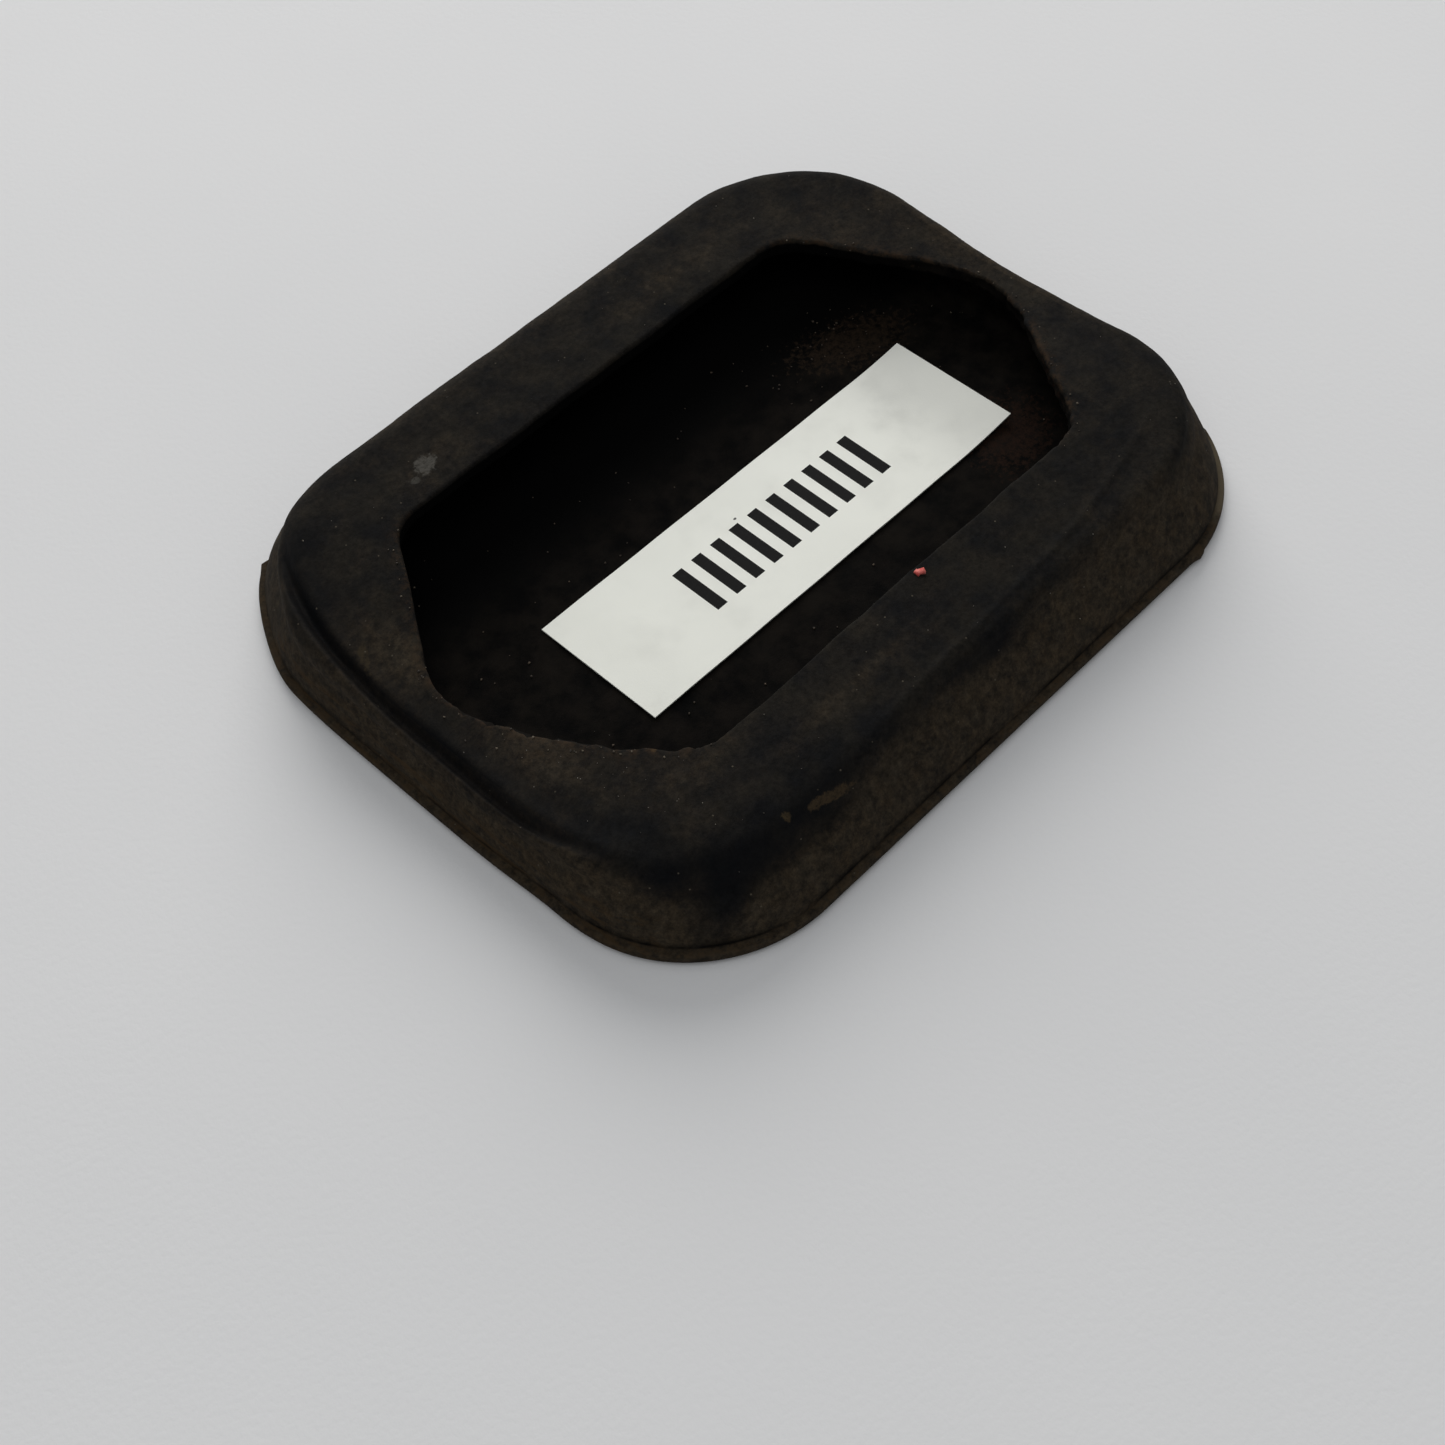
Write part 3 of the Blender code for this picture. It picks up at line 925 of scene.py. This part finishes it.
def scatter(name, places, sizes, surface, rng):
    """Crumbs of random size at plan places, each resting on the surface under it."""
    points, faces = [], []
    for x, y in places:
        hit = surface.ray_cast(Vector((x, y, 50)) * MM, Vector((0, 0, -1)))[0]
        if hit is None:
            continue
        size = rng.uniform(*sizes)
        crumb, quads = grain(rng, (x, y, hit.z / MM + 0.15 * size), size)
        start = len(points) * 8
        faces += [tuple(start + i for i in quad) for quad in quads]
        points.append(crumb)
    return mesh_piece(name, np.vstack(points), faces)


def dust_material(name, dark, pale):
    """Dry mineral dust between two tones."""
    recipe = Recipe(name)
    tone = recipe.mask(recipe.noise(0.6, 2.0), 0.35, 0.65)
    recipe.put(recipe.shader.inputs["Base Color"], recipe.mix(tone, (*dark, 1), (*pale, 1)))
    rough = recipe.math("ADD", 0.8, recipe.times(recipe.noise(0.2), 0.2))
    recipe.put(recipe.shader.inputs["Roughness"], rough)
    recipe.bump(((recipe.noise(0.05, 3.0), 0.01),))
    return recipe.material


def build_dust(pad):
    """Grit on the pocket floor, crumbs along the torn mouth, specks on the rim and one fleck of red paint."""
    bpy.context.view_layer.update()
    surface = BVHTree.FromObject(pad, bpy.context.evaluated_depsgraph_get())
    rng = random.Random(11)

    # A patch towards the far end, and a thin scatter over the whole floor.
    pocket = [(rng.gauss(18, 4), rng.gauss(8, 2.5)) for _ in range(40)]
    pocket += [(rng.uniform(-25, 25), rng.uniform(-14, 14)) for _ in range(70)]
    inside = [p for p in pocket if abs(p[0]) < 25 and abs(p[1]) < 14.5 and not on_label(p)]
    grit = scatter("pocket_grit", inside, GRIT_SIZES, surface, rng)
    grit.data.materials.append(dust_material("brown_grit", (0.02, 0.013, 0.008), (0.07, 0.05, 0.032)))

    # Both ends of the mouth, where its edge is torn.
    torn_edge = [p for p in mouth_ring(0.35) if abs(p[0]) > 19]
    torn = [rng.choice(torn_edge) + (rng.gauss(0, 0.4), rng.gauss(0, 0.4)) for _ in range(70)]
    crumbs = scatter("mouth_crumbs", torn, CRUMB_SIZES, surface, rng)
    crumbs.data.materials.append(dust_material("torn_crumbs", (0.02, 0.014, 0.009), (0.1, 0.08, 0.055)))

    # The lip all round, and a patch on the near end.
    rim = [(rng.uniform(-32, 32), rng.uniform(-26, 26)) for _ in range(160)]
    rim = [p for p in rim if abs(p[1]) > 16.5 or abs(p[0]) > 29]
    rim += [(rng.gauss(-25, 2), rng.gauss(-11, 4)) for _ in range(60)]
    specks = scatter("rim_specks", rim, SPECK_SIZES, surface, rng)
    specks.data.materials.append(dust_material("pale_specks", (0.05, 0.045, 0.036), (0.22, 0.2, 0.17)))

    fleck = scatter("red_fleck", FLECK_PLACES, FLECK_SIZES, surface, rng)
    fleck.data.materials.append(dust_material("red_paint", (0.5, 0.06, 0.05), (0.7, 0.2, 0.17)))


def on_label(place):
    """Whether a plan place is on the label or within 0.3 mm of it."""
    x, y = place
    beside = abs(x - LABEL_CENTRE.x) - LABEL_LENGTH / 2
    above = abs(y - LABEL_CENTRE.y) - LABEL_WIDTH / 2
    return max(beside, above) < 0.3


def build_floor():
    """A plain pale floor with a faint tooth, just under the pad."""
    bpy.ops.mesh.primitive_plane_add(size=FLOOR_SIZE * MM, location=(0, 0, -FLOOR_GAP * MM))
    floor = bpy.context.object
    floor.name = "floor"
    recipe = Recipe("pale_floor")
    soft = recipe.noise(45.0, 3.0, 0.5)
    colour = recipe.mix(soft, (0.74, 0.745, 0.755, 1), (0.80, 0.80, 0.805, 1))
    recipe.put(recipe.shader.inputs["Base Color"], colour)
    recipe.shader.inputs["Roughness"].default_value = 0.9
    recipe.bump(((recipe.noise(0.5, 2.0), 0.02),))
    floor.data.materials.append(recipe.material)


def aimed(place, target, roll=0.0):
    """A matrix at place whose -Z axis points at target, turned about that axis by roll."""
    turn = (target - place).to_track_quat("-Z", "Y").to_matrix().to_4x4()
    return Matrix.Translation(place) @ turn @ Matrix.Rotation(roll, 4, "Z")


def around(target, azimuth, elevation, distance):
    """A point seen from target at an azimuth (0 is -Y, 90 is +X) and an elevation."""
    flat = cos(elevation)
    return target + distance * Vector((sin(azimuth) * flat, -cos(azimuth) * flat, sin(elevation)))


def build_camera():
    """The photograph's camera."""
    data = bpy.data.cameras.new("camera")
    data.lens = CAMERA_LENS
    data.sensor_width = CAMERA_SENSOR
    data.clip_start = 0.01
    camera = bpy.data.objects.new("camera", data)
    place = around(CAMERA_AIM * MM, CAMERA_AZIMUTH, CAMERA_ELEVATION, CAMERA_DISTANCE * MM)
    camera.matrix_world = aimed(place, CAMERA_AIM * MM, CAMERA_ROLL)
    bpy.context.scene.collection.objects.link(camera)
    bpy.context.scene.camera = camera


def softbox(name, azimuth, elevation, watts, tint):
    """A round soft light aimed at the middle of the pad."""
    data = bpy.data.lights.new(name, "AREA")
    data.shape = "DISK"
    data.size = SOFTBOX_SIZE * MM
    data.energy = watts
    data.color = tint
    light = bpy.data.objects.new(name, data)
    place = around(SOFTBOX_AIM * MM, radians(azimuth), radians(elevation), SOFTBOX_DISTANCE * MM)
    light.matrix_world = aimed(place, SOFTBOX_AIM * MM)
    bpy.context.scene.collection.objects.link(light)


def build_light():
    """A low window light from behind the pad, a weak overhead light and an even fill from all round."""
    softbox("window", azimuth=142, elevation=26, watts=7.2, tint=(1.0, 0.985, 0.96))
    softbox("overhead", azimuth=-60, elevation=70, watts=1.6, tint=(0.96, 0.985, 1.0))
    world = bpy.data.worlds.new("studio")
    world.use_nodes = True
    background = world.node_tree.nodes["Background"]
    background.inputs["Color"].default_value = (0.97, 0.975, 0.985, 1)
    background.inputs["Strength"].default_value = 0.31
    bpy.context.scene.world = world
    bpy.context.scene.view_settings.view_transform = "Standard"


for leftover in [o for o in bpy.data.objects if o.type in ("LIGHT", "CAMERA")]:
    bpy.data.objects.remove(leftover)
pad = build_pad()
pad.data.materials.append(rubber_material())
build_label()
build_dust(pad)
build_floor()
build_camera()
build_light()
